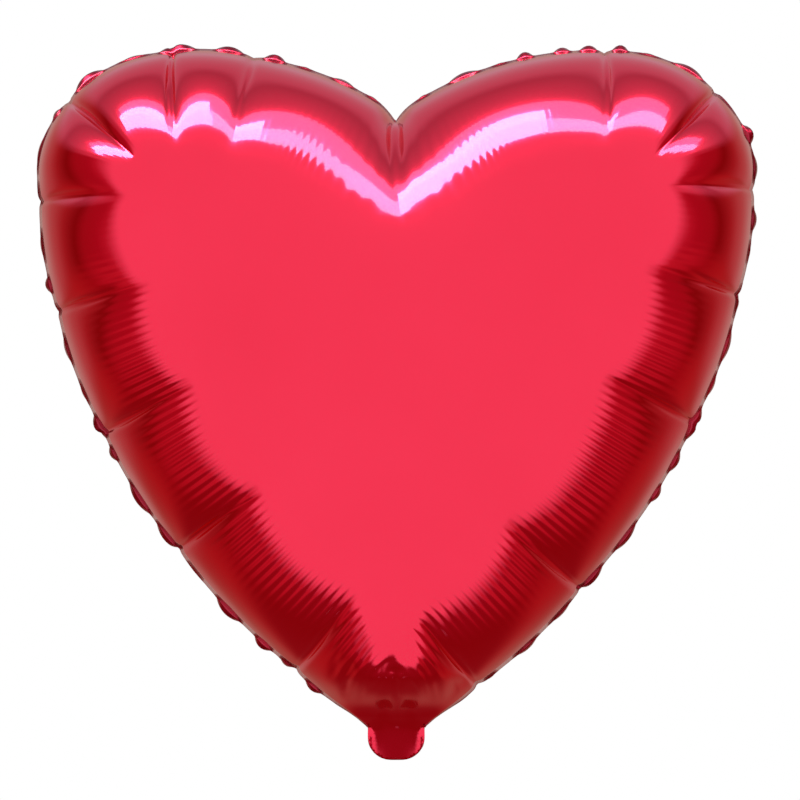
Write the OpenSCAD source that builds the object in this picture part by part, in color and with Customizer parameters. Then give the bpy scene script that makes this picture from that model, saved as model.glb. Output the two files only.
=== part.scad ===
// Heart-shaped foil balloon, inflated, with its filling tail and self-sealing valve.
// Millimetres, +Z up. The origin is the middle of the tail's root fold, where the
// ribbon is tied. The front faces -Y and X runs to the right.

/* [Heart] */
// Width of the inflated heart across its lobes, between the two seams
heart_w = 380; // [180:1:900]
// Height of the lobes' tops above the tail's root fold
heart_h = 360; // [200:1:900]
// Thickness of the inflated heart at its middle
puff_d = 166; // [60:1:320]
// How far the notch lies below the lobes' tops
notch_drop = 34; // [15:1:70]
// Distance of each lobe's top from the centre line
lobe_top_x = 108; // [70:1:140]
// How far the widest level lies below the lobes' tops
widest_drop = 65; // [40:1:110]

/* [Films and seams] */
// Wall that stands in for the metallised film
foil_t = 0.4; // [0.2:0.05:1]
// Wall that stands in for the clear valve film
valve_t = 0.3; // [0.15:0.05:0.6]
// Gap between the two valve films, where the gas or a straw goes in
valve_gap = 0.2; // [0.1:0.05:1]
// Part of the heart's welded edge that stands outside the inflated film
weld_out = 6; // [3:0.5:12]
// Part of the heart's welded edge that reaches inside the film's rim
weld_in = 2; // [1:0.5:4]

/* [Tail] */
// Width of the filling tail
tail_w = 30; // [16:0.5:60]
// Length of the tail below the root fold
tail_l = 17; // [10:0.5:60]
// Radius of the tail's two lower corners
tail_r = 12; // [3:0.5:14]
// Width of the welds along the tail's two sides
tail_weld = 3; // [1.5:0.5:5]
// Room on each side of the root fold, so that the tail can swing
fold_room = 1.2; // [1.1:0.1:2.5]

/* [Valve] */
// Width of the valve tongue inside the heart
tongue_w = 24; // [12:0.5:28]
// Length of the valve tongue above the root fold
tongue_l = 70; // [30:1:120]
// Width of the welds along the tongue's two sides
tongue_weld = 1.5; // [1:0.5:4]
// Radius of the tongue's two upper corners
tongue_r = 4; // [1:0.5:6]
// Side clearance between the valve films and the welds around them
valve_clear = 0.5; // [0.3:0.1:1.5]

/* [Hidden] */

foil_red = "#d8203a";
foil_back = "#b3152c";
weld_red = "#8e0d20";
valve_clear_film = "#dfe3e8";

weld_t = 2 * valve_t + valve_gap;   // the valve films lie between the two foils
tail_top = 0.3 - fold_room;         // the tail starts nearer to the fold than the heart does
tongue_z = 2.6;                     // the tongue starts just above its own fold
curve_steps = [12, 14, 22];         // outline steps: notch to top, top to side, side to neck
neck_steps = 4;                     // outline steps along half of the neck's straight edge
rings = 12;                         // rings of the puffed panel from the rim to the middle
puff_power = 2.4;                   // above 2, the panel is flatter in its middle than an ellipse
middle_share = 0.58;                // level of the panel's middle as a share of the height
cut_h = 8;                          // height of the gap that the valve passes in the heart's weld
cut_clear = 0.4;                    // room between the tail's edge and the heart's weld
$fn = 64;

// ---- outline ---------------------------------------------------------------

function bezier(a, b, c, d, n, first = 0) = [
    for (i = [first:n]) let(t = i / n, u = 1 - t)
        u*u*u*a + 3*u*u*t*b + 3*u*t*t*c + t*t*t*d
];

// Right half of the heart as three curves, grown outwards by g. The handles are
// shares of the spans between the points, so the shape follows any size.
function half_heart(g) =
    let(
        notch = [0, heart_h - notch_drop + 1.3 * g],
        top = [lobe_top_x, heart_h + g],
        side = [heart_w / 2 + g, heart_h - widest_drop],
        neck = [tail_w / 2 + g, fold_room],
        inner = top.x, outer = side.x - top.x, upper = top.y - side.y, lower = side.y - neck.y,
        leave = 38, arrive = 35     // degrees above level at the notch and at the neck
    )
    concat(
        bezier(notch, notch + 0.20 * inner * [cos(leave), sin(leave)],
               top - [0.43 * inner, 0], top, curve_steps[0]),
        bezier(top, top + [0.71 * outer, 0], side + [0, 0.37 * upper], side, curve_steps[1], 1),
        bezier(side, side - [0, 0.18 * lower],
               neck + 0.65 * lower * [cos(arrive), sin(arrive)], neck, curve_steps[2], 1),
        [for (i = [1:neck_steps]) [neck.x * (1 - i / neck_steps), neck.y]]
    );

function heart(g = 0) =
    let(half = half_heart(g))
    concat(half, [for (i = [len(half) - 2:-1:1]) [-half[i].x, half[i].y]]);

// ---- puffed panel ----------------------------------------------------------

rim = heart();
rim_n = len(rim);
middle = [0, heart_h * middle_share];

// Share of the way from the middle to the rim, and the rise of the film there
function ring_share(k) = cos(90 * k / rings);
function ring_rise(k) = weld_t / 2 + (puff_d - weld_t) / 2 * sqrt(1 - pow(ring_share(k), puff_power));

function skin_point(k, j) =
    let(p = middle + ring_share(k) * (rim[(j + rim_n) % rim_n] - middle))
    [p.x, -ring_rise(k), p.y];

// Unit normal of the skin, pointing into the balloon. At the rim it lies in the seam's plane.
function inward(k, j) =
    let(
        along = skin_point(k, j + 1) - skin_point(k, j - 1),
        rise = k == 0 ? [0, -1, 0] : skin_point(k + 1, j) - skin_point(k - 1, j),
        n = cross(along, rise)
    )
    n / norm(n);

skin = concat([for (k = [0:rings - 1], j = [0:rim_n - 1]) skin_point(k, j)],
              [[middle.x, -puff_d / 2, middle.y]]);
lining = concat([for (k = [0:rings - 1], j = [0:rim_n - 1]) skin_point(k, j) + foil_t * inward(k, j)],
                [[middle.x, -puff_d / 2 + foil_t, middle.y]]);
peak = rings * rim_n;               // index of the middle point in skin and in lining
layer = peak + 1;                   // points in one layer

function quads(base, turned) = [
    for (k = [0:rings - 2], j = [0:rim_n - 1], half = [0, 1])
        let(
            a = base + k * rim_n + j, b = base + k * rim_n + (j + 1) % rim_n,
            c = b + rim_n, d = a + rim_n,
            tri = half == 0 ? [a, b, c] : [a, c, d]
        )
        turned ? [tri[0], tri[2], tri[1]] : tri
];

function fan(base, turned) = [
    for (j = [0:rim_n - 1])
        let(a = base + (rings - 1) * rim_n + j, b = base + (rings - 1) * rim_n + (j + 1) % rim_n)
        turned ? [b, a, base + peak] : [a, b, base + peak]
];

function rim_strip() = [
    for (j = [0:rim_n - 1], half = [0, 1])
        let(a = j, b = (j + 1) % rim_n)
        half == 0 ? [a, layer + a, layer + b] : [a, layer + b, b]
];

module foil_panel() {
    polyhedron(
        points = concat(skin, lining),
        faces = concat(quads(0, false), fan(0, false), quads(layer, true), fan(layer, true), rim_strip())
    );
}

// ---- flat films ------------------------------------------------------------

// A flat shape drawn in X and Z, as a film between the depths y0 and y1
module film(y0, y1) {
    translate([0, y1, 0]) rotate([90, 0, 0]) linear_extrude(y1 - y0) children();
}

// The tail's outline: straight sides and two round lower corners
module tail_shape() {
    half = tail_w / 2;
    r = min(tail_r, half - 0.5);
    intersection() {
        translate([-half, -tail_l]) square([tail_w, tail_l + tail_top]);
        union() {
            translate([-half, -tail_l + r]) square([tail_w, tail_l]);
            translate([-half + r, -tail_l]) square([tail_w - 2 * r, tail_l]);
            for (side = [-1, 1]) translate([side * (half - r), -tail_l + r]) circle(r);
        }
    }
}

module tongue_shape() {
    half = tongue_w / 2;
    union() {
        translate([-half, tongue_z]) square([tongue_w, tongue_l - tongue_z - tongue_r]);
        translate([-half + tongue_r, tongue_z]) square([tongue_w - 2 * tongue_r, tongue_l - tongue_z]);
        for (side = [-1, 1]) translate([side * (half - tongue_r), tongue_l - tongue_r]) circle(tongue_r);
    }
}

// ---- nodes -----------------------------------------------------------------

module front_foil() { color(foil_red) foil_panel(); }

module rear_foil() { color(foil_back) mirror([0, 1, 0]) foil_panel(); }

// The welded band that joins the two foils all round, open where the valve passes
module edge_weld() {
    cut_w = tail_w + 2 * cut_clear;
    color(weld_red) difference() {
        film(-weld_t / 2, weld_t / 2) polygon(heart(weld_out));
        film(-weld_t, weld_t) polygon(heart(-weld_in));
        translate([-cut_w / 2, -weld_t, fold_room - 1]) cube([cut_w, 2 * weld_t, cut_h]);
    }
}

module tail_front_foil() { color(foil_red) film(-weld_t / 2 - foil_t, -weld_t / 2) tail_shape(); }

module tail_rear_foil() { color(foil_back) film(weld_t / 2, weld_t / 2 + foil_t) tail_shape(); }

module tail_side_welds() {
    channel_w = tail_w - 2 * tail_weld;
    color(weld_red) film(-weld_t / 2, weld_t / 2) difference() {
        tail_shape();
        translate([-channel_w / 2, -tail_l - 1]) square([channel_w, tail_l + 1]);
    }
}

// The lower ends of the two valve films, each welded to the inside of its foil
module mouth_film(y0, y1) {
    mouth_w = tail_w - 2 * tail_weld - 2 * valve_clear;
    mouth_bottom = -tail_l + 2;
    color(valve_clear_film) film(y0, y1)
        translate([-mouth_w / 2, mouth_bottom]) square([mouth_w, tail_top - mouth_bottom]);
}

module valve_mouth_front() { mouth_film(-weld_t / 2, -valve_gap / 2); }

module valve_mouth_rear() { mouth_film(valve_gap / 2, weld_t / 2); }

module valve_tongue_front() { color(valve_clear_film) film(-weld_t / 2, -valve_gap / 2) tongue_shape(); }

module valve_tongue_rear() { color(valve_clear_film) film(valve_gap / 2, weld_t / 2) tongue_shape(); }

// The two seams that close the tongue's sides and leave its upper end open
module valve_side_welds() {
    color(valve_clear_film) film(-valve_gap / 2, valve_gap / 2)
        for (side = [-1, 1])
            translate([side * (tongue_w - tongue_weld) / 2 - tongue_weld / 2, tongue_z])
                square([tongue_weld, tongue_l - tongue_z - tongue_r]);
}

front_foil();
rear_foil();
edge_weld();
tail_front_foil();
tail_rear_foil();
tail_side_welds();
valve_mouth_front();
valve_mouth_rear();
valve_tongue_front();
valve_tongue_rear();
valve_side_welds();
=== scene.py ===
import math
import bpy
import bmesh
import numpy as np
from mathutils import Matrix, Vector
from mathutils.bvhtree import BVHTree
from mathutils.geometry import delaunay_2d_cdt, interpolate_bezier
from mathutils.kdtree import KDTree


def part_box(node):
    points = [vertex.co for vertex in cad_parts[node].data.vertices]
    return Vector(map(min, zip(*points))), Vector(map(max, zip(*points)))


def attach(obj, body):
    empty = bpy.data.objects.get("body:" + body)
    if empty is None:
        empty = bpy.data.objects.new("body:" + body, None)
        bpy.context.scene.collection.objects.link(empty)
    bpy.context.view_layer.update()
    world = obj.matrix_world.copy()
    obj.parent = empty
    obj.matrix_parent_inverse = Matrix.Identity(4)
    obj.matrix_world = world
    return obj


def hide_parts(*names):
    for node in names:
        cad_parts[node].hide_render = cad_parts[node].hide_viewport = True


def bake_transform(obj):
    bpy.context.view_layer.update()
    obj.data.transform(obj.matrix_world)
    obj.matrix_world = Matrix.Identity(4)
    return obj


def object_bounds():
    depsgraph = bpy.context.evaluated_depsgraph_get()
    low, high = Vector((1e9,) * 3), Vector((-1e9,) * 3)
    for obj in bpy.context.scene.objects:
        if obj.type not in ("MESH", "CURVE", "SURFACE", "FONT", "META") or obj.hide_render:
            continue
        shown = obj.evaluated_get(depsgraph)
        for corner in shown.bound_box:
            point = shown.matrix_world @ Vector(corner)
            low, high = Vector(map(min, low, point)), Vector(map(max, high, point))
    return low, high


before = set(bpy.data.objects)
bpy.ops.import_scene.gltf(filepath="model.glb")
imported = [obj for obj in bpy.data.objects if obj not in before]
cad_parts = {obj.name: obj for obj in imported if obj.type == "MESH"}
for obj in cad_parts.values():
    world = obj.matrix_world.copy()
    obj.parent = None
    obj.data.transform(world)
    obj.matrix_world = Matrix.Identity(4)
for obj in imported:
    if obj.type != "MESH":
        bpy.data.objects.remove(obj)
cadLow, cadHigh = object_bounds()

scene = bpy.context.scene
scene.view_settings.view_transform = "Standard"   # bright lights clip to plain white

filmLow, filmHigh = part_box("front_foil")
tailLow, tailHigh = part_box("tail_front_foil")
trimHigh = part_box("edge_weld")[1]

# the heart's weld line

heart = {                       # metres
    "halfWidth": filmHigh.x,
    "top": filmHigh.z,
    "bottom": filmLow.z,
    "lobeTop": 0.108,           # middle of the heart to the top of a lobe
    "notchDrop": 0.034,         # top of the lobes down to the notch
    "widestDrop": 0.065,        # top of the lobes down to the widest place
    "notchAngle": 38,           # degrees, how steeply the line leaves the notch
    "neckAngle": 35,            # degrees, how steeply it comes down to the neck
    # how far the handles of its curves reach, each as a share of its own stretch
    "handles": {"notch": 0.2, "lobeInner": 0.43, "lobeOuter": 0.71, "sideUpper": 0.37,
                "sideLower": 0.18, "neck": 0.65},
    "points": 81,               # on each upper curve
}
tail = {                        # metres
    "halfWidth": tailHigh.x,
    "bottom": tailLow.z,
    "corner": 0.012,            # radius of the tail's lower corners
    "weld": 0.0024,             # width of the welded sides
    "gap": 0.0007,              # half the distance between its films there
    "mouth": 0.0012,            # and in the middle of the mouth
    "slope": 0.22,              # how fast its middle fills out upwards
    "flare": 45.0,              # and how much faster above the fold
    "roundness": 0.8,           # below 1, it fills out further towards its sides
    "blend": (0.002, 0.028),    # heights over which the heart's shape takes over
    "lean": 0.45,               # how fast it leans back, below a height of leanFrom
    "leanFrom": 0.007,
    "curl": 0.0026,             # how far the welded sides curl forward
    "curlReach": 0.001,         # how far past the tail's width the curl still grows
    "curlEnd": (-0.004, 0.004),  # heights over which it dies out
}


def curve(start, startHandle, endHandle, end, points):
    ends = [Vector((x, z, 0)) for x, z in (start, startHandle, endHandle, end)]
    return np.array([p[:2] for p in interpolate_bezier(*ends, points)])


def heartLine():
    # open line: right corner of the neck, up and over to the notch, down to the left corner
    width, top = heart["halfWidth"], heart["top"]
    notch = np.array([0, top - heart["notchDrop"]])
    lobe = np.array([heart["lobeTop"], top])
    side = np.array([width, top - heart["widestDrop"]])
    neck = np.array([tail["halfWidth"], heart["bottom"]])
    leave, arrive = math.radians(heart["notchAngle"]), math.radians(heart["neckAngle"])
    outward = lobe[0] * np.array([math.cos(leave), math.sin(leave)])
    upward = (side[1] - neck[1]) * np.array([math.cos(arrive), math.sin(arrive)])
    reach, count = heart["handles"], heart["points"]
    half = np.vstack([
        curve(notch, notch + reach["notch"] * outward,
              lobe - [reach["lobeInner"] * lobe[0], 0], lobe, count)[:-1],
        curve(lobe, lobe + [reach["lobeOuter"] * (width - lobe[0]), 0],
              side + [0, reach["sideUpper"] * heart["widestDrop"]], side, count)[:-1],
        curve(side, side - [0, reach["sideLower"] * (side[1] - neck[1])],
              neck + reach["neck"] * upward, neck, 2 * count - 1),
    ])
    return np.vstack([half[::-1], half[1:] * [-1, 1]])


def tailLine():
    # right corner of the neck, round the tail's mouth, to the left corner, without the corners
    width, low, corner = tail["halfWidth"], tail["bottom"], tail["corner"]
    steps = 10
    turn = [math.pi / 2 * k / steps for k in range(steps + 1)]
    arc = [(width - corner + corner * math.cos(a), low + corner - corner * math.sin(a))
           for a in turn]
    straight = [(width, heart["bottom"] + (arc[0][1] - heart["bottom"]) * k / 3) for k in (1, 2)]
    mouth = [((width - corner) * k / 2, low) for k in (1, 0)]
    right = np.array(straight + arc + mouth)
    return np.vstack([right, right[-2::-1] * [-1, 1]])


def spaced(line, count):
    # evenly spaced points along a line, and its length
    run = np.concatenate([[0], np.cumsum(np.linalg.norm(np.diff(line, axis=0), axis=1))])
    at = np.linspace(0, run[-1], count)
    return np.stack([np.interp(at, run, line[:, k]) for k in range(2)], 1), run[-1]


def smoothed(values, spread):
    # each value becomes a bell-weighted mean of its neighbours
    reach = int(4 * spread)
    bell = np.exp(-0.5 * (np.arange(-reach, reach + 1) / spread) ** 2)
    bell /= bell.sum()
    flat = values.reshape(len(values), -1)
    padded = np.pad(flat, ((reach, reach), (0, 0)), mode="edge")
    out = np.stack([np.convolve(padded[:, k], bell, "valid") for k in range(flat.shape[1])], 1)
    return out.reshape(values.shape)


def ramp(value, low, high):
    t = np.clip((value - low) / (high - low), 0, 1)
    return t * t * (3 - 2 * t)


# creases across the rim

# share of the way from the notch to the neck, how far the crease runs in and how far its
# inner end leans towards the neck, in metres, and how deep it is beside the others
creases = {
    "right": [(0.20, 0.044, 0.002, 1.0), (0.312, 0.032, 0.000, 0.9), (0.408, 0.024, -0.003, 0.5),
              (0.505, 0.036, -0.006, 0.9), (0.63, 0.058, -0.003, 1.0), (0.81, 0.054, 0.003, 1.0),
              (0.94, 0.038, -0.004, 0.8)],
    "left": [(0.142, 0.020, -0.003, 0.5), (0.216, 0.044, 0.004, 1.0), (0.32, 0.026, -0.001, 0.8),
             (0.42, 0.036, -0.003, 0.8), (0.522, 0.044, -0.005, 0.9), (0.637, 0.042, 0.002, 0.9),
             (0.765, 0.060, 0.004, 1.0), (0.915, 0.042, -0.001, 0.9)],
    "notch": (0.062, 0.0, 2.2),  # the one in the notch
    # how far each side of a crease the film rounds over, at the weld and at its inner end
    "width": (0.0044, 0.0026),
    "notchWidth": (0.012, 0.006),
    "depth": 0.0013,
    "shallower": 0.6,           # how much shallower it is at its inner end
    "fadeFrom": 0.6,            # share of its length after which it fades out
    "bow": 0.0012,              # how far it bends off a straight line
    "swell": 0.0006,            # how far the film stands out between two creases
    "level": 0.6,               # share of a swell at which the film keeps its place
    "swellReach": 0.030,        # metres from the weld
    "turn": 0.008,              # metres from the weld in which relief turns from sideways to outward
    "neckClear": 0.02,          # share of the weld, next to the neck, over which relief grows
}
ribs = {                        # the fine ripples that cross the rim
    "count": 256,
    "height": 0.00020,
    "from": (0.012, 0.028),     # where they grow from the weld, metres
    "to": (0.042, 0.068),       # where they fade into the flat middle
    "least": 0.05,              # share of the height that they have over the shoulders
    # what the flanks and the notch add, and over which part of the way from the notch to the
    # neck that comes or goes
    "flank": (1.15, 0.42, 0.62),
    "notch": (0.80, 0.050, 0.092),
    "uneven": 0.2,              # how much their height varies along the rim
    "besideCrease": (0.8, 0.004),  # how much lower they are at a crease, and how near to it
}


def creaseRows():
    rows = [(0.5 - 0.5 * at, reach, -lean, depth) for at, reach, lean, depth in creases["right"]]
    rows += [(0.5 + 0.5 * at, reach, lean, depth) for at, reach, lean, depth in creases["left"]]
    reach, lean, depth = creases["notch"]
    return sorted(rows + [(0.5, reach, lean, depth)])


def lobes(along):
    # 0 at each crease and 1 half way between two of them
    stops = np.array([0.0] + [row[0] for row in creaseRows()] + [1.0])
    left = np.clip(np.searchsorted(stops, along) - 1, 0, len(stops) - 2)
    part = (along - stops[left]) / (stops[left + 1] - stops[left])
    return np.abs(np.sin(np.pi * part)) ** 0.5


# one flat film, cut and meshed

cut = {
    "columns": 3 * ribs["count"],
    "rows": 12,
    "band": 0.058,              # width of the ruled rim, metres
    "bandShare": 0.86,          # most of the way to the middle line that it may take
    "bandLow": 0.16,            # height below which that holds
    "bunching": 1.25,           # above 1, rows crowd towards the weld
    "spread": (9, 10),          # columns that even out the rim's direction and its width
    # looser rings inside the rim: how far in, and every how many columns they have a point
    "rings": ((0.0028, 2), (0.0065, 4)),
    "ringShare": 0.8,           # how much of that distance their points must keep
    "middle": 0.0065,           # mesh size in the middle
    "middleField": ((-0.3, -0.06), (0.3, 0.45)),
    "middleClear": 0.0115,      # distance that it keeps from the rim
    "middleShare": 0.6,         # and from other points, as a share of its size
    "neck": 0.0024,             # mesh size in the tail and the neck
    "neckField": ((-0.03, -0.06), (0.03, 0.03)),
    "neckShare": 0.75,
    "least": 0.0017,            # least distance between two points inside the rim
}


def nearest(points, line):
    # which point of the line is nearest to each point, and how far off it is
    index, gap = np.empty(len(points), int), np.empty(len(points))
    for i in range(0, len(points), 2000):
        square = ((points[i:i + 2000, None] - line[None]) ** 2).sum(2)
        index[i:i + 2000] = square.argmin(1)
        gap[i:i + 2000] = np.sqrt(square.min(1))
    return index, gap


def inside(points, ring):
    x, z = points.T
    odd = np.zeros(len(points), bool)
    for (x1, z1), (x2, z2) in zip(ring, np.roll(ring, -1, 0)):
        if z1 != z2:
            odd ^= ((z1 > z) != (z2 > z)) & (x < (x2 - x1) * (z - z1) / (z2 - z1) + x1)
    return odd


def lattice(step, low, high):
    rows = np.arange(low[1], high[1], step * math.sqrt(3) / 2)
    return np.array([(x + (step / 2 if k % 2 else 0), z)
                     for k, z in enumerate(rows) for x in np.arange(low[0], high[0], step)])


def thinned(points, keep, gap):
    # the first few stay, and later ones go where they come too near to an earlier one
    tree = KDTree(len(points))
    for i, p in enumerate(points):
        tree.insert((p[0], p[1], 0), i)
    tree.balance()
    dropped = set()
    for i in range(keep, len(points)):
        if i not in dropped:
            near = tree.find_range((points[i][0], points[i][1], 0), gap)
            dropped.update(j for _, j, _ in near if j > i)
    return points[[i for i in range(len(points)) if i not in dropped]]


def cutFilm():
    columns, rows = cut["columns"], cut["rows"]
    turnSpread, bandSpread = cut["spread"]
    edge, length = spaced(heartLine(), columns + 1)
    run = np.gradient(edge, axis=0)
    outward = np.stack([run[:, 1], -run[:, 0]], 1)
    if ((edge - [0, edge[:, 1].mean()]) * outward).sum() < 0:
        outward = -outward
    outward = smoothed(outward / np.linalg.norm(outward, axis=1)[:, None], turnSpread)
    outward /= np.linalg.norm(outward, axis=1)[:, None]
    # the ruled band, narrower where the two sides come together above the neck
    sideways = np.maximum(outward[:, 0] * np.sign(edge[:, 0]), 1e-3)
    narrow = np.minimum(cut["band"], cut["bandShare"] * np.abs(edge[:, 0]) / sideways)
    reach = np.where(edge[:, 1] < cut["bandLow"], narrow, cut["band"])
    reach = np.minimum(reach, smoothed(reach, bandSpread))
    step = (np.arange(rows + 1) / rows) ** cut["bunching"]
    band = edge[None] - outward[None] * (reach[None, :, None] * step[:, None, None])
    mouth = tailLine()
    inner = band[-1]
    ring = np.vstack([inner, band[-2::-1, -1], mouth[::-1], band[:-1, 0]])
    number = lambda row, column: row * (columns + 1) + column
    banded = (rows + 1) * (columns + 1)
    ringIndex = [number(rows, c) for c in range(columns + 1)]
    ringIndex += [number(r, columns) for r in range(rows - 1, -1, -1)]
    ringIndex += [banded + i for i in range(len(mouth))]
    ringIndex += [number(r, 0) for r in range(rows)]
    # the middle: two looser rings, then a lattice, finer in the tail
    points = [ring]
    for gap, every in cut["rings"]:
        layer = (inner - outward * gap)[::every]
        apart = nearest(layer, ring)[1] > cut["ringShare"] * gap
        points.append(layer[inside(layer, ring) & apart])
    points = np.vstack(points)
    wide = lattice(cut["middle"], *cut["middleField"])
    wide = wide[inside(wide, ring)]
    wide = wide[nearest(wide, ring)[1] > cut["middleClear"]]
    apart = nearest(wide, points)[1] > cut["middleShare"] * cut["middle"]
    points = np.vstack([points, wide[apart]])
    fine = lattice(cut["neck"], *cut["neckField"])
    fine = fine[inside(fine, ring)]
    apart = nearest(fine, points)[1] > cut["neckShare"] * cut["neck"]
    points = np.vstack([points, fine[apart]])
    points = thinned(points, len(ring), cut["least"])
    border = [(i, (i + 1) % len(ring)) for i in range(len(ring))]
    triangles = delaunay_2d_cdt([Vector(p) for p in points.tolist()], border, [], 1, 1e-8)[2]
    # the film's points: the band, row by row, then the tail's mouth, then the middle
    index = ringIndex + [banded + len(mouth) + i for i in range(len(points) - len(ring))]
    flat = np.vstack([band.reshape(-1, 2), mouth[::-1], points[len(ring):]])
    faces = [[number(r, c), number(r, c + 1), number(r + 1, c + 1), number(r + 1, c)]
             for r in range(rows) for c in range(columns)]
    faces += [[index[i] for i in t] for t in triangles]

    def area(face):
        x, z = flat[face].T
        return (x * np.roll(z, -1) - np.roll(x, -1) * z).sum()
    faces = [f if area(f) > 0 else f[::-1] for f in faces]
    seam = [number(0, c) for c in range(columns + 1)] + [banded + i for i in range(len(mouth))]
    column, inward = nearest(flat, edge)
    column = column.astype(float)
    column[:banded] = np.tile(np.arange(columns + 1), rows + 1)
    return {"flat": flat, "faces": faces, "seam": seam, "along": column / columns,
            "inward": inward, "outward": outward, "length": length}


film = cutFilm()
print("film cut:", len(film["flat"]), "points,", len(film["faces"]), "faces")

# blowing the balloon up

gas = {
    "depth": 0.070,             # half depth of the shape that the simulation starts from
    "least": 0.02,              # share of it that is left in the tail
    "neck": (0.002, 0.028),     # how far below and above the fold that shape fills out
    "lobeCut": 0.3,             # how much shallower that shape is at a crease
    "lobeReach": 0.03,          # metres from the weld
    "slack": 0.06,              # extra length in the film beside the weld
    "slackReach": 0.03,
    "scallop": 0.001,           # the weld drawn in at the creases
    "scallopReach": 0.02,
    "weldHold": 0.3,            # how firmly the weld keeps its place; the tail keeps it fully
    "pressure": 6.0,
    "pressureFrom": (0.004, 0.02),  # how far below the fold it starts, and over what height it grows
    "stiffness": 15.0,
    "shear": 0.3,               # stiffness against shear, as a share of that
    "bending": 0.002,
    "mass": 3e-5,               # of one point, kilograms
    "quality": 6,
    "damping": 2.0,
    "bendingDamping": 0.1,
    "airDamping": 1.0,
    "frames": 20,
    "overshoot": 0.0005,        # extra half depth, which calming the middle takes off again
    # beyond each distance from the weld, how many passes calm the film
    "calm": ((0.034, 4), (0.042, 10), (0.05, 25)),
}


def softDepth():
    # 0 at the weld and 1 in the middle, rising as a blown-up film does
    flat, seam = film["flat"], film["flat"][film["seam"]]
    step = np.linalg.norm(np.roll(seam, -1, 0) - seam, axis=1)
    middle = (seam + np.roll(seam, -1, 0)) / 2
    out = np.empty(len(flat))
    for i in range(0, len(flat), 2000):
        square = ((flat[i:i + 2000, None] - middle[None]) ** 2).sum(2) + 1e-9
        out[i:i + 2000] = (2 / (square ** -1.5 * step).sum(1)) ** 0.5
    out[film["seam"]] = 0
    out /= out.max()
    return np.sqrt(1 - (1 - out) ** 2)


def weights(bag, name, values):
    group = bag.vertex_groups.new(name=name)
    for i, value in enumerate(values):
        group.add([i], float(value), "REPLACE")
    return name


def inflate():
    # both films, joined at the weld, swell under gas pressure
    flat, seam = film["flat"], film["seam"]
    count = len(flat)
    free = np.setdiff1d(np.arange(count), seam)
    rear = np.arange(count)
    rear[free] = count + np.arange(len(free))
    lobe = lobes(film["along"])
    below, above = gas["neck"]
    neckFade = ramp(flat[:, 1], heart["bottom"] - below, heart["bottom"] + above)
    height = gas["depth"] * softDepth() * np.maximum(neckFade, gas["least"])
    height *= 1 - gas["lobeCut"] * np.exp(-(film["inward"] / gas["lobeReach"]) ** 2) * (1 - lobe)
    nearColumn = np.round(film["along"] * cut["columns"]).astype(int)
    nearWeld = np.exp(-(film["inward"] / gas["scallopReach"]) ** 2)
    drawn = gas["scallop"] * nearWeld * neckFade * (lobe - 0.5)
    plan = flat + film["outward"][nearColumn] * drawn[:, None]
    start = np.zeros((count + len(free), 3))
    start[:count, ::2] = plan
    start[count:, ::2] = plan[free]
    start[free, 1] = -height[free]
    start[count:, 1] = height[free]
    mesh = bpy.data.meshes.new("bag")
    rearFaces = [[int(rear[k]) for k in f[::-1]] for f in film["faces"]]
    mesh.from_pydata(start.tolist(), [], film["faces"] + rearFaces)
    bag = bpy.data.objects.new("bag", mesh)
    scene.collection.objects.link(bag)
    both = lambda values: np.concatenate([values, values[free]])
    z = both(flat[:, 1])
    onSeam = both(np.isin(np.arange(count), seam))
    cloth = bag.modifiers.new("gas", "CLOTH")
    settings = cloth.settings
    below, growth = gas["pressureFrom"]
    pushed = np.clip((z - heart["bottom"] + below) / growth, 0, 1)
    settings.vertex_group_pressure = weights(bag, "pushed", pushed)
    slack = np.exp(-(film["inward"] / gas["slackReach"]) ** 1.5) * neckFade
    settings.vertex_group_shrink = weights(bag, "slack", both(slack))
    settings.shrink_min, settings.shrink_max = 0.0, -gas["slack"]
    held = np.where(z < heart["bottom"], 1.0, np.where(onSeam, gas["weldHold"], 0.0))
    settings.vertex_group_mass = weights(bag, "held", held)
    settings.pin_stiffness = 1.0
    settings.quality, settings.mass = gas["quality"], gas["mass"]
    settings.tension_stiffness = settings.compression_stiffness = gas["stiffness"]
    settings.shear_stiffness = gas["shear"] * gas["stiffness"]
    settings.bending_stiffness = gas["bending"]
    settings.tension_damping = settings.compression_damping = gas["damping"]
    settings.shear_damping = gas["damping"]
    settings.bending_damping = gas["bendingDamping"]
    settings.air_damping = gas["airDamping"]
    settings.use_pressure, settings.uniform_pressure_force = True, gas["pressure"]
    settings.effector_weights.gravity = 0
    cloth.collision_settings.use_collision = False
    cloth.collision_settings.use_self_collision = False
    scene.frame_start, scene.frame_end = 1, gas["frames"]
    cloth.point_cache.frame_end = gas["frames"]
    for f in range(1, gas["frames"] + 1):
        scene.frame_set(f)
    shape = bag.evaluated_get(bpy.context.evaluated_depsgraph_get()).to_mesh()
    blown = np.empty(len(shape.vertices) * 3, np.float32)
    shape.vertices.foreach_get("co", blown)
    bpy.data.objects.remove(bag)
    bpy.data.meshes.remove(mesh)
    scene.frame_set(1)
    blown = blown.reshape(-1, 3).astype(float)
    blown[:, 1] *= (filmLow.y - gas["overshoot"]) / blown[:count, 1].min()
    return blown[:count], blown[rear]


frontShape, rearShape = inflate()
print("inflated: depth", round(float(rearShape[:, 1].max() - frontShape[:, 1].min()), 4))

# the two foil skins

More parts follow.
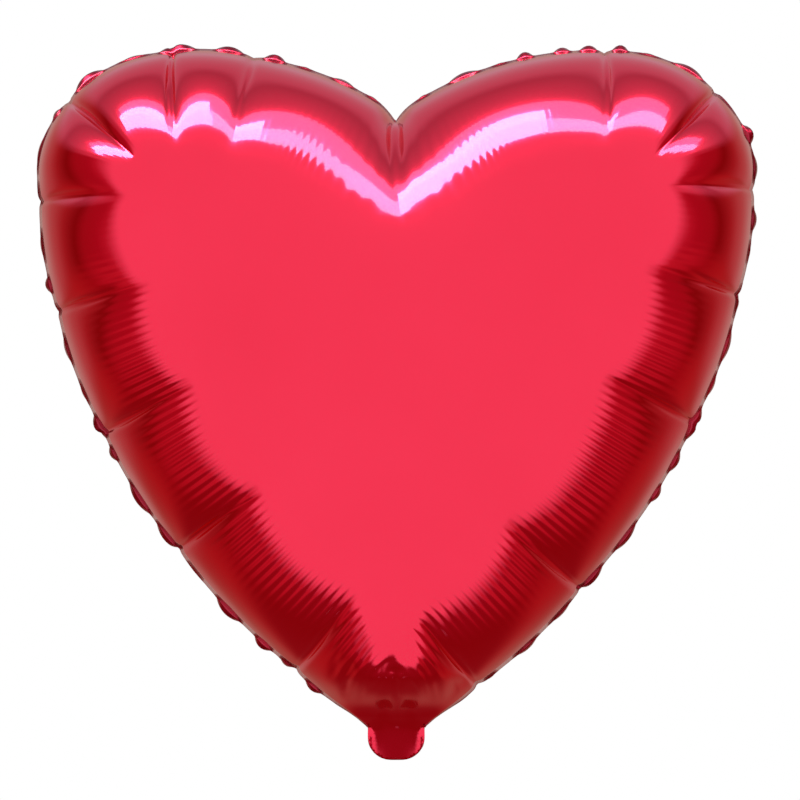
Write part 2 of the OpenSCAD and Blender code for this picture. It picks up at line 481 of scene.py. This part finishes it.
neck = {                        # metres, across and up from the middle of the fold
    "fuller": 0.0058,           # how much fuller the film stands over the valve
    "fullAt": (0.028, 0.011, 0.016),  # height of that, and how far it spreads up and across
    "ridge": 0.0010,            # height of the ridge up its middle
    # across, width and height as a share of the ridge's, where below 0 is a hollow
    "ridges": ((0.0010, 0.0032, 1.0), (-0.0055, 0.0030, -1.0), (0.0075, 0.0030, -0.5)),
    "ridgeFoot": (-0.001, 0.010),  # heights over which the ridge grows, and ends
    "ridgeTop": (0.024, 0.060),
    "tucks": (((-0.0150, 0.0010), (-0.0045, 0.0150)), ((0.0150, 0.0010), (0.0040, 0.0170))),
    "tuckDepth": 0.0008,
    "tuckWidth": 0.0026,
    "tuckFade": 0.6,            # how much shallower a tuck is at its top
    "plainBelow": 0.2,          # below this, creases and ripples stay clear of the middle line
    "plain": (0.004, 0.012),
}


def relief(along, inward):
    # how far the film stands in or out of the blown shape: creases, swells between, ripples
    lobe = lobes(along)
    out = creases["swell"] * (lobe - creases["level"])
    out *= np.exp(-(inward / creases["swellReach"]) ** 2)
    drop, near = ribs["besideCrease"]
    beside = np.ones(len(along))
    for at, reach, lean, depth in creaseRows():
        # two rounded bodies that meet in a sharp line, wide at the weld and fine at its inner end
        part = np.clip(inward / reach, 0, 1)
        across = (along - at) * film["length"] - lean * part
        across -= creases["bow"] * np.sin(3 * part + 40 * at)
        wide, fine = creases["notchWidth"] if at == 0.5 else creases["width"]
        close = 1 - np.clip(np.abs(across) / (fine + (wide - fine) * (1 - part)), 0, 1)
        fade = 1 - creases["shallower"] * part
        fade *= 1 - ramp(inward, creases["fadeFrom"] * reach, reach)
        out -= creases["depth"] * depth * close ** 2 * fade
        beside *= 1 - drop * np.exp(-(across / near) ** 2) * fade
    # ripples are strong down the flanks and beside the notch, faint over the shoulders
    share = np.abs(2 * along - 1)
    flank, flankFrom, flankTo = ribs["flank"]
    notch, notchFrom, notchTo = ribs["notch"]
    place = ribs["least"] + flank * ramp(share, flankFrom, flankTo)
    place += notch * (1 - ramp(share, notchFrom, notchTo))
    strength = ramp(inward, *ribs["from"]) * (1 - ramp(inward, *ribs["to"])) * place
    uneven = np.sin(23 * along + 1.0) * np.sin(71 * along)
    strength *= 1 - ribs["uneven"] + ribs["uneven"] * uneven
    out += ribs["height"] * strength * beside * np.sin(2 * np.pi * ribs["count"] * along)
    return out * ramp(np.minimum(along, 1 - along), 0.0, creases["neckClear"])


def evaluated(obj):
    mesh = bpy.data.meshes.new_from_object(obj.evaluated_get(bpy.context.evaluated_depsgraph_get()))
    obj.modifiers.clear()
    obj.data = mesh
    return mesh


def numbers(mesh, name):
    values = np.empty(len(mesh.vertices), np.float32)
    mesh.attributes[name].data.foreach_get("value", values)
    return values.astype(float)


def places(mesh):
    values = np.empty(len(mesh.vertices) * 3, np.float32)
    mesh.vertices.foreach_get("co", values)
    return values.reshape(-1, 3).astype(float)


def calmed(mesh):
    # the wide middle is drawn smooth by the gas
    work = bmesh.new()
    work.from_mesh(mesh)
    work.verts.ensure_lookup_table()
    for limit, passes in gas["calm"]:
        chosen = [work.verts[i] for i in np.where(film["inward"] > limit)[0]]
        for _ in range(passes):
            bmesh.ops.smooth_vert(work, verts=chosen, factor=0.5,
                                  use_axis_x=True, use_axis_y=True, use_axis_z=True)
    work.to_mesh(mesh)
    work.free()


def leaning(z):
    return tail["lean"] * np.maximum(tail["leanFrom"] - z, 0)


def curlTail(place, side):
    # the films close up from the neck to the flat mouth, and their welded edges curl forward
    x, z = np.abs(place[:, 0]), place[:, 2]
    low = 1 - ramp(z, *tail["blend"])
    upward = np.maximum(z, 0)
    edge = tail["halfWidth"] - tail["weld"] + upward / math.tan(math.radians(heart["neckAngle"]))
    fill = tail["mouth"] + tail["slope"] * (z - tail["bottom"]) + tail["flare"] * upward ** 2
    apart = tail["gap"] + fill * (1 - np.minimum(x / edge, 1) ** 2) ** tail["roundness"]
    curlFrom = tail["halfWidth"] - 2 * tail["weld"]
    curl = tail["curl"] * ramp(x, curlFrom, tail["halfWidth"] + tail["curlReach"])
    target = side * apart - curl * (1 - ramp(z, *tail["curlEnd"]))
    place[:, 1] = place[:, 1] * (1 - low) + target * low + leaning(z)
    return place


def neckFolds(x, z):
    # the film stands fuller over the valve, with a low ridge up its middle and two short tucks
    middle, up, across = neck["fullAt"]
    out = neck["fuller"] * np.exp(-0.5 * (((z - middle) / up) ** 2 + (x / across) ** 2))
    ridge = sum(share * np.exp(-((x - at) / width) ** 2) for at, width, share in neck["ridges"])
    out += neck["ridge"] * ridge * ramp(z, *neck["ridgeFoot"]) * (1 - ramp(z, *neck["ridgeTop"]))
    for foot, top in neck["tucks"]:
        run = np.array(top) - foot
        spot = np.stack([x, z], 1) - foot
        part = np.clip(spot @ run / (run @ run), 0, 1)
        gap = np.linalg.norm(spot - part[:, None] * run, axis=1)
        depth = neck["tuckDepth"] * (1 - neck["tuckFade"] * part)
        out -= depth * np.exp(-(gap / neck["tuckWidth"]) ** 2)
    return out


def foilSkin(name, shape, side):
    # side is -1 for the front film and 1 for the rear one
    faces = film["faces"] if side < 0 else [f[::-1] for f in film["faces"]]
    mesh = bpy.data.meshes.new(name)
    mesh.from_pydata(shape.tolist(), [], faces)
    calmed(mesh)
    for key in ("along", "inward"):
        kept = mesh.attributes.new(key, "FLOAT", "POINT")
        kept.data.foreach_set("value", film[key].astype(np.float32))
    skin = bpy.data.objects.new(name, mesh)
    scene.collection.objects.link(skin)
    finer = skin.modifiers.new("finer", "SUBSURF")
    finer.levels = finer.render_levels = 1
    mesh = evaluated(skin)
    place = places(mesh)
    along, inward = numbers(mesh, "along"), numbers(mesh, "inward")
    normal = np.empty(len(place) * 3, np.float32)
    mesh.vertex_normals.foreach_get("vector", normal)
    normal = normal.reshape(-1, 3)
    nearColumn = np.clip(np.round(along * cut["columns"]), 0, cut["columns"]).astype(int)
    sideways = np.zeros_like(place)
    sideways[:, ::2] = film["outward"][nearColumn]
    share = ramp(inward, 0.0, creases["turn"])[:, None]
    push = sideways * (1 - share) + normal * share
    push /= np.linalg.norm(push, axis=1)[:, None]
    aside = ramp(np.abs(place[:, 0]), *neck["plain"])
    aside = np.where(place[:, 2] > neck["plainBelow"], 1.0, aside)
    place += push * (relief(along, inward) * aside)[:, None]
    place = curlTail(place, side)
    place[:, 1] += side * neckFolds(place[:, 0], place[:, 2])
    mesh.vertices.foreach_set("co", place.astype(np.float32).ravel())
    mesh.shade_smooth()
    return skin


frontFoil = foilSkin("front_foil_skin", frontShape, -1)
rearFoil = foilSkin("rear_foil_skin", rearShape, 1)
print("foil skins:", len(frontFoil.data.vertices), "points each")

# the trim outside the weld

trim = {
    "width": trimHigh.x - filmHigh.x,
    "rows": 5,
    "petal": (0.010, 0.026),    # lengths of the parts that stand out, metres
    "gap": (0.001, 0.010),
    "stand": (0.22, 0.66),      # how far they stand out, as a share of flat
    "roundness": 0.8,
    "notchClear": (0.006, 0.022),  # none stands out this near the notch
    "neckClear": (0.010, 0.035),
    "lap": 0.0006,              # how far the trim reaches in past the weld line
    "off": 0.0004,              # how far it lies off the rear film
    "wall": 0.0003,
    "seed": 11,
}


def petals(length, count):
    # 0 where the trim lies back against the rear film, up to 1 where it stands straight out
    random = np.random.default_rng(trim["seed"])
    at = np.linspace(0, length, count)
    out = np.zeros(count)
    start = 0.0
    while start < length:
        size = random.uniform(*trim["petal"])
        part = (at - start) / size
        rise = np.sin(np.pi * np.clip(part, 0, 1)) ** trim["roundness"]
        out = np.maximum(out, random.uniform(*trim["stand"]) * rise)
        start += size + random.uniform(*trim["gap"])
    out *= ramp(np.abs(at - length / 2), *trim["notchClear"])
    return out * ramp(np.minimum(at, length - at), *trim["neckClear"])


def weldTrim():
    count = cut["columns"] + 1
    seam = frontShape[:count].copy()
    atWeld = relief(np.linspace(0, 1, count), np.zeros(count))
    seam[:, ::2] += film["outward"] * atWeld[:, None]
    outward = np.zeros_like(seam)
    outward[:, ::2] = film["outward"]
    stand = petals(film["length"], count)
    tree = BVHTree.FromObject(rearFoil, bpy.context.evaluated_depsgraph_get())
    work = bmesh.new()
    line = [work.verts.new(p - trim["lap"] * o) for p, o in zip(seam, outward)]
    edges = [work.edges.new(pair) for pair in zip(line, line[1:])]
    for row in range(1, trim["rows"] + 1):
        width = trim["width"] * row / trim["rows"]
        made = bmesh.ops.extrude_edge_only(work, edges=edges)["geom"]
        edges = [e for e in made if isinstance(e, bmesh.types.BMEdge)]
        line = [v for v in made if isinstance(v, bmesh.types.BMVert)]
        # laid back, the trim follows the rear film, and standing out it goes straight outwards
        for i, vert in enumerate(line):
            flatOut = seam[i] + outward[i] * width
            spot, away, _, _ = tree.find_nearest(Vector(seam[i]) + Vector((0, width, 0)))
            back = spot + away * trim["off"]
            vert.co = Vector(flatOut).lerp(back, 1 - float(stand[i]))
    bmesh.ops.recalc_face_normals(work, faces=work.faces[:])
    mesh = bpy.data.meshes.new("weld_trim")
    work.to_mesh(mesh)
    work.free()
    mesh.shade_smooth()
    piece = bpy.data.objects.new("weld_trim", mesh)
    scene.collection.objects.link(piece)
    wall = piece.modifiers.new("wall", "SOLIDIFY")
    wall.thickness, wall.offset = trim["wall"], 0
    return piece


weldTrimPiece = weldTrim()
print("weld trim:", len(weldTrimPiece.data.vertices), "points")

# the valve's mouth

valve = {                       # metres
    "inset": 0.0040,            # the valve's mouth inside the tail's edge
    "middle": -0.004,           # height of the point that its outline is drawn in towards
    "topCorner": (0.0105, -0.0012),  # across and up, where it ends under the fold
    "gap": 0.00025,             # half the distance between its two films
    "wall": 0.00012,
}


def valveMouth():
    # two clear films between the tail's films, open at the bottom
    ring = tailLine()
    towards = np.array([0.0, valve["middle"]]) - ring
    ring = ring + towards * (valve["inset"] / np.linalg.norm(towards, axis=1))[:, None]
    corner = np.array(valve["topCorner"])
    ring = np.vstack([ring, corner * [-1, 1], corner])
    work = bmesh.new()
    for side in (-1, 1):
        verts = [work.verts.new((x, leaning(z) + side * valve["gap"], z)) for x, z in ring]
        face = work.faces.new(verts)
        face.normal_update()
        if face.normal.y * side < 0:
            face.normal_flip()
    bmesh.ops.triangulate(work, faces=work.faces[:])
    mesh = bpy.data.meshes.new("valve_mouth_films")
    work.to_mesh(mesh)
    work.free()
    piece = bpy.data.objects.new("valve_mouth_films", mesh)
    scene.collection.objects.link(piece)
    wall = piece.modifiers.new("wall", "SOLIDIFY")
    wall.thickness, wall.offset = valve["wall"], 0
    return piece


valveMouthPiece = valveMouth()
print("valve mouth:", len(valveMouthPiece.data.vertices), "points")

# materials


class Shader:
    # a few lines that place and link nodes
    def __init__(self, name):
        self.material = bpy.data.materials.new(name)
        self.material.use_nodes = True
        self.tree = self.material.node_tree
        self.main = self.tree.nodes["Principled BSDF"]
        self.place = self.add("ShaderNodeTexCoord").outputs["Object"]

    def add(self, kind, **inputs):
        node = self.tree.nodes.new(kind)
        for name, value in inputs.items():
            self.put(node.inputs[name], value)
        return node

    def put(self, socket, value):
        if isinstance(value, bpy.types.NodeSocket):
            self.tree.links.new(value, socket)
        else:
            socket.default_value = value

    def noise(self, scale, detail=2.0, vector=None):
        node = self.add("ShaderNodeTexNoise", Vector=vector or self.place, Scale=scale, Detail=detail)
        return node.outputs["Fac"]

    def between(self, value, low, high):
        node = self.add("ShaderNodeMapRange", Value=value)
        node.inputs["To Min"].default_value = low
        node.inputs["To Max"].default_value = high
        return node.outputs["Result"]

    def colours(self, value, *stops):
        node = self.add("ShaderNodeValToRGB", Fac=value)
        for stop, (at, colour) in zip(node.color_ramp.elements, stops):
            stop.position = at
            stop.color = (*colour, 1)
        for at, colour in stops[2:]:
            node.color_ramp.elements.new(at).color = (*colour, 1)
        return node.outputs["Color"]

    def bump(self, height, strength, distance, after=None):
        node = self.add("ShaderNodeBump", Height=height, Strength=strength, Distance=distance)
        if after:
            self.put(node.inputs["Normal"], after)
        return node.outputs["Normal"]

    def finish(self, **sockets):
        for name, value in sockets.items():
            self.put(self.main.inputs[name.replace("_", " ")], value)
        return self.material


def foilFinish(name, bright, dark, roughness):
    # red lacquer over bright metal, under a clear outer film
    s = Shader(name)
    colour = s.colours(s.noise(9, 3), (0.3, bright), (0.7, dark))
    rough = s.between(s.noise(35, 4), roughness[0], roughness[1])
    wrinkle = s.bump(s.noise(42, 3), 0.10, 0.0006)
    grain = s.bump(s.noise(1400, 1), 0.05, 0.00004, wrinkle)
    return s.finish(Base_Color=colour, Metallic=1.0, Roughness=rough, Normal=grain,
                    Coat_Weight=0.5, Coat_Roughness=0.03, Coat_IOR=1.5)


def valveFinish():
    # thin milky film, a little wrinkled
    s = Shader("valveFilm")
    colour = s.colours(s.noise(60, 3), (0.3, (0.80, 0.82, 0.84)), (0.7, (0.90, 0.92, 0.94)))
    rough = s.between(s.noise(150, 3), 0.18, 0.34)
    wrinkle = s.bump(s.noise(240, 3), 0.4, 0.0003)
    return s.finish(Base_Color=colour, Roughness=rough, Normal=wrinkle,
                    Transmission_Weight=0.45, IOR=1.5)


frontFinish = foilFinish("frontFilm", (0.92, 0.018, 0.068), (0.89, 0.015, 0.060), (0.11, 0.15))
rearFinish = foilFinish("rearFilm", (0.91, 0.017, 0.065), (0.88, 0.014, 0.058), (0.12, 0.16))
# the weld trim is the same red film as the skins, but its colour is painted much darker: painted
# shade standing in for the dark room that the petals reflect
trimFinishPaintedShade = foilFinish("weldFilmPaintedShade", (0.46, 0.006, 0.034), (0.18, 0.003, 0.020), (0.20, 0.30))
valveFilm = valveFinish()


def dress(obj, material):
    obj.data.materials.clear()
    obj.data.materials.append(material)


foilWall = 0.00025


def addWall(skin):
    wall = skin.modifiers.new("wall", "SOLIDIFY")
    wall.thickness, wall.offset = foilWall, -1


for skin, material, slot, nodes in (
        (frontFoil, frontFinish, "front_film", ("front_foil", "tail_front_foil")),
        (rearFoil, rearFinish, "rear_film", ("rear_foil", "tail_rear_foil"))):
    dress(skin, material)
    addWall(skin)
    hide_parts(*nodes)
    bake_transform(skin)
dress(weldTrimPiece, trimFinishPaintedShade)
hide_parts("edge_weld", "tail_side_welds")
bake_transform(weldTrimPiece)
dress(valveMouthPiece, valveFilm)
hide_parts("valve_mouth_front", "valve_mouth_rear")
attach(valveMouthPiece, "tail")
for name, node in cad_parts.items():
    if name.startswith("valve"):
        for slot in node.material_slots:
            slot.material = valveFilm
print("materials done")

# floor, light and camera

studio = {
    "floor": (-5.0, 0.3),       # height and radius, metres
    # colour of the room at each angle from straight ahead of the balloon, seen by parts of
    # it that face up, sideways, down, and straight down
    "above": [(180, (0.56, 0.53, 0.60)), (116, (0.56, 0.52, 0.60)), (108, (0.42, 0.32, 0.38)),
              (92, (0.62, 0.58, 0.62)), (76, (0.95, 0.95, 0.95)), (70, (1.0, 1.0, 1.0))],
    "level": [(180, (0.50, 0.36, 0.32)), (124, (0.44, 0.24, 0.20)), (112, (0.36, 0.09, 0.08)),
              (98, (0.22, 0.02, 0.02)), (88, (0.36, 0.05, 0.07)), (72, (0.40, 0.05, 0.09)),
              (66, (0.48, 0.10, 0.14)), (54, (1.0, 1.0, 1.0))],
    "below": [(180, (0.34, 0.20, 0.15)), (146, (0.38, 0.16, 0.12)), (112, (0.41, 0.08, 0.07)),
              (96, (0.34, 0.04, 0.05)), (84, (0.46, 0.08, 0.11)), (68, (0.54, 0.14, 0.17)),
              (56, (1.0, 1.0, 1.0))],
    "under": [(180, (0.28, 0.07, 0.06)), (142, (0.27, 0.03, 0.035)), (96, (0.25, 0.02, 0.03)),
              (70, (0.29, 0.04, 0.06)), (58, (1.0, 1.0, 1.0))],
    # how high a direction points, 1 straight up, where each of them takes over from the last
    "takesOver": {"below": (-0.78, -0.54), "level": (-0.45, -0.2), "above": (0.3, 0.55)},
    # the long lamps overhead: place; width, depth and power; colour
    "lamps": {"stripLeft": ((-0.65, -0.50, 1.17), (1.3, 0.34, 21.0), (1, 1, 1)),
              "stripRight": ((0.65, -0.57, 1.15), (1.3, 0.24, 8.5), (1, 1, 1)),
              "glowLamp": ((0, -0.34, 1.27), (2.4, 0.30, 7.0), (1.0, 0.78, 1.0))},
    "aimHeight": 0.3,
    "lens": 200,                # millimetres
    "seen": 0.424,              # how much the camera sees across, at the balloon
    "aside": 0.002,             # how far right of the balloon's middle the camera stands
}


def floor():
    height, radius = studio["floor"]
    work = bmesh.new()
    bmesh.ops.create_circle(work, cap_ends=True, segments=96, radius=radius)
    bmesh.ops.translate(work, verts=work.verts[:], vec=(0, 0, height))
    mesh = bpy.data.meshes.new("studioFloor")
    work.to_mesh(mesh)
    work.free()
    ground = bpy.data.objects.new("studioFloor", mesh)
    scene.collection.objects.link(ground)
    s = Shader("paleFloor")
    colour = s.colours(s.noise(3, 2), (0.3, (0.42, 0.40, 0.38)), (0.7, (0.46, 0.44, 0.42)))
    dress(ground, s.finish(Base_Color=colour, Roughness=0.7))


def surroundings():
    # a white wall in front, dimmer sides, a pale wall behind
    world = bpy.data.worlds.new("studio")
    scene.world = world
    world.use_nodes = True
    tree = world.node_tree
    add, link = tree.nodes.new, tree.links.new
    background = tree.nodes["Background"]
    split = add("ShaderNodeSeparateXYZ")
    link(add("ShaderNodeTexCoord").outputs["Generated"], split.inputs[0])

    def ring(stops):
        spread = add("ShaderNodeMapRange")
        spread.inputs["From Min"].default_value = 1
        spread.inputs["From Max"].default_value = -1
        link(split.outputs["Y"], spread.inputs["Value"])
        node = add("ShaderNodeValToRGB")
        link(spread.outputs[0], node.inputs[0])
        elements = node.color_ramp.elements
        while len(elements) < len(stops):
            elements.new(1.0)
        for element, (angle, colour) in zip(elements, stops):
            element.position = 0.5 + 0.5 * math.cos(math.radians(angle))
            element.color = (*colour, 1)
        return node.outputs[0]

    def mixed(share, under, over):
        node = add("ShaderNodeMix")
        node.data_type = "RGBA"
        link(share, node.inputs["Factor"])
        link(under, node.inputs["A"])
        if isinstance(over, tuple):
            node.inputs["B"].default_value = over
        else:
            link(over, node.inputs["B"])
        return node.outputs["Result"]

    def rising(start, end):
        node = add("ShaderNodeMapRange")
        node.interpolation_type = "SMOOTHSTEP"
        node.inputs["From Min"].default_value = start
        node.inputs["From Max"].default_value = end
        link(split.outputs["Z"], node.inputs["Value"])
        return node.outputs[0]

    room = ring(studio["under"])
    for name, span in studio["takesOver"].items():
        room = mixed(rising(*span), room, ring(studio[name]))
    seen = add("ShaderNodeLightPath").outputs["Is Camera Ray"]
    link(mixed(seen, room, (1, 1, 1, 1)), background.inputs["Color"])


def lamp(name, place, size, colour):
    light = bpy.data.lights.new(name, "AREA")
    light.shape = "RECTANGLE"
    light.size, light.size_y, light.energy = size
    light.color = colour
    obj = bpy.data.objects.new(name, light)
    scene.collection.objects.link(obj)
    obj.location = place
    aim = Vector((place[0], 0, studio["aimHeight"])) - obj.location
    obj.rotation_euler = aim.to_track_quat("-Z", "Y").to_euler()


def camera():
    middle = Vector((studio["aside"], 0, (cadLow.z + cadHigh.z) / 2))
    data = bpy.data.cameras.new("camera")
    data.lens = studio["lens"]
    distance = studio["seen"] * studio["lens"] / data.sensor_width
    obj = bpy.data.objects.new("camera", data)
    scene.collection.objects.link(obj)
    obj.location = middle - Vector((0, distance, 0))
    obj.rotation_euler = (math.radians(90), 0, 0)
    scene.camera = obj


floor()
surroundings()
for name, (place, size, colour) in studio["lamps"].items():
    lamp(name, place, size, colour)
camera()
